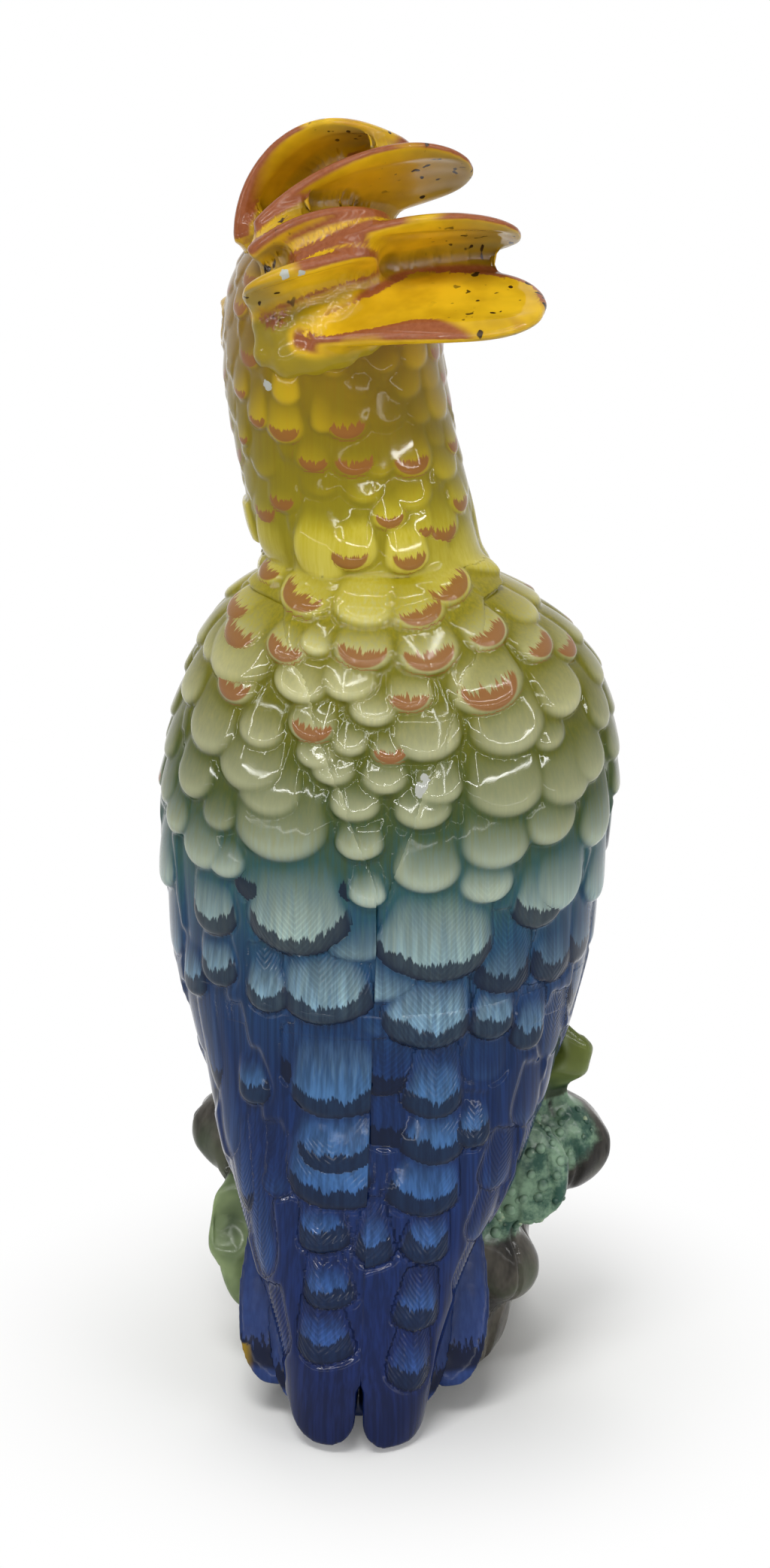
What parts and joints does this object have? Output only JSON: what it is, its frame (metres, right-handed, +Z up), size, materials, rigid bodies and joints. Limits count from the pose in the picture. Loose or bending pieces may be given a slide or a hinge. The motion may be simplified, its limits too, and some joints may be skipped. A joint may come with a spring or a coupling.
{
  "type": "parrot figurine",
  "caption": "Standing crested parrot figurine in glazed ceramic on a leafy tree stump, with folded wings, fanned tail, raised crest and hooked beak.",
  "frame": {"origin": "centre of the stump's flat underside, on the surface it stands on", "axes": "+Z up along the bird, -Y the way the breast faces, +X the bird's left"},
  "size_m": [0.153, 0.1516, 0.4264],
  "materials": {
    "leaf_glaze": "gloss",
    "bark_glaze": "gloss",
    "crest_glaze": "gloss",
    "quill_glaze": "gloss",
    "wing_glaze": "gloss",
    "beak_glaze": "gloss",
    "eye_glaze": "gloss",
    "toe_glaze": "gloss",
    "head_glaze": "gloss",
    "thigh_glaze": "gloss",
    "torso_glaze": "gloss"
  },
  "bodies": {
    "root": {"crest_feather_1": "crest_glaze", "crest_feather_2": "crest_glaze", "crest_feather_3": "crest_glaze", "crest_feather_4": "crest_glaze", "crest_feather_5": "crest_glaze", "crest_feather_6": "crest_glaze", "crest_feather_7": "crest_glaze", "head_shell": "head_glaze", "leaf_front_left": "leaf_glaze", "leaf_front_low": "leaf_glaze", "leaf_front_right": "leaf_glaze", "leaf_left_low": "leaf_glaze", "leaf_left_under": "leaf_glaze", "leaf_right_high": "leaf_glaze", "leaf_right_middle": "leaf_glaze", "left_eye": "eye_glaze", "left_thigh": "thigh_glaze", "left_toe_inner": "toe_glaze", "left_toe_outer": "toe_glaze", "left_wing": "wing_glaze", "lower_beak": "beak_glaze", "right_eye": "eye_glaze", "right_thigh": "thigh_glaze", "right_toe_inner": "toe_glaze", "right_toe_outer": "toe_glaze", "right_wing": "wing_glaze", "stump_shell": "bark_glaze", "tail_feather_centre": "quill_glaze", "tail_feather_left_middle": "quill_glaze", "tail_feather_left_outer": "quill_glaze", "tail_feather_right_middle": "quill_glaze", "tail_feather_right_outer": "quill_glaze", "torso_shell": "torso_glaze", "trunk_burl_right": "bark_glaze", "trunk_knot_left": "bark_glaze", "trunk_knot_right": "bark_glaze", "trunk_root_left": "bark_glaze", "trunk_root_right": "bark_glaze", "upper_beak": "beak_glaze"}
  },
  "joints": []
}
